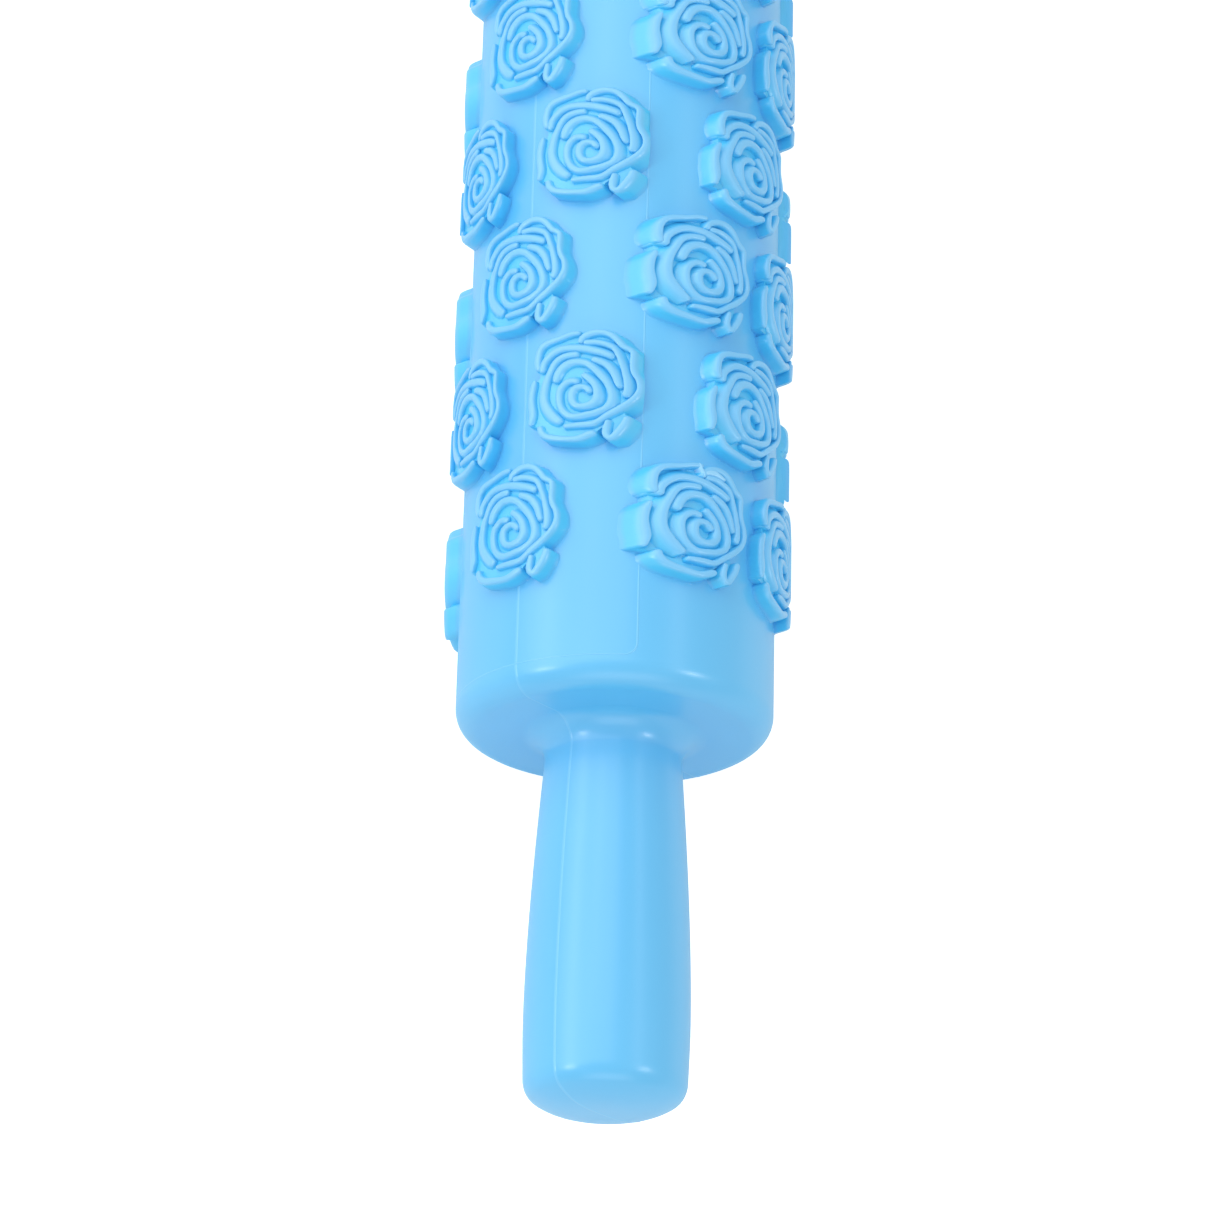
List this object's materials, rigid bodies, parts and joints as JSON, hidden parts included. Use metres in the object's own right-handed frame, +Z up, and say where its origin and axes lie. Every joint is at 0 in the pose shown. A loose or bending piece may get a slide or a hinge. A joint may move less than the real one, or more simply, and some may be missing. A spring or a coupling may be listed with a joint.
{
  "type": "embossing roller",
  "caption": "Hollow plastic rolling pin with raised roses round its barrel and a fixed handle at each end, for embossing dough, fondant or clay.",
  "frame": {"origin": "middle of the pin, on its axis", "axes": "+X along the pin's axis towards the pictured handle, +Z up as the pin lies, +Y to the right as seen from that handle's end"},
  "size_m": [0.391, 0.053, 0.053],
  "materials": {
    "sky_blue_plastic": "satin"
  },
  "bodies": {
    "root": {"right_half_shell": "sky_blue_plastic", "left_half_shell": "sky_blue_plastic"}
  },
  "joints": []
}
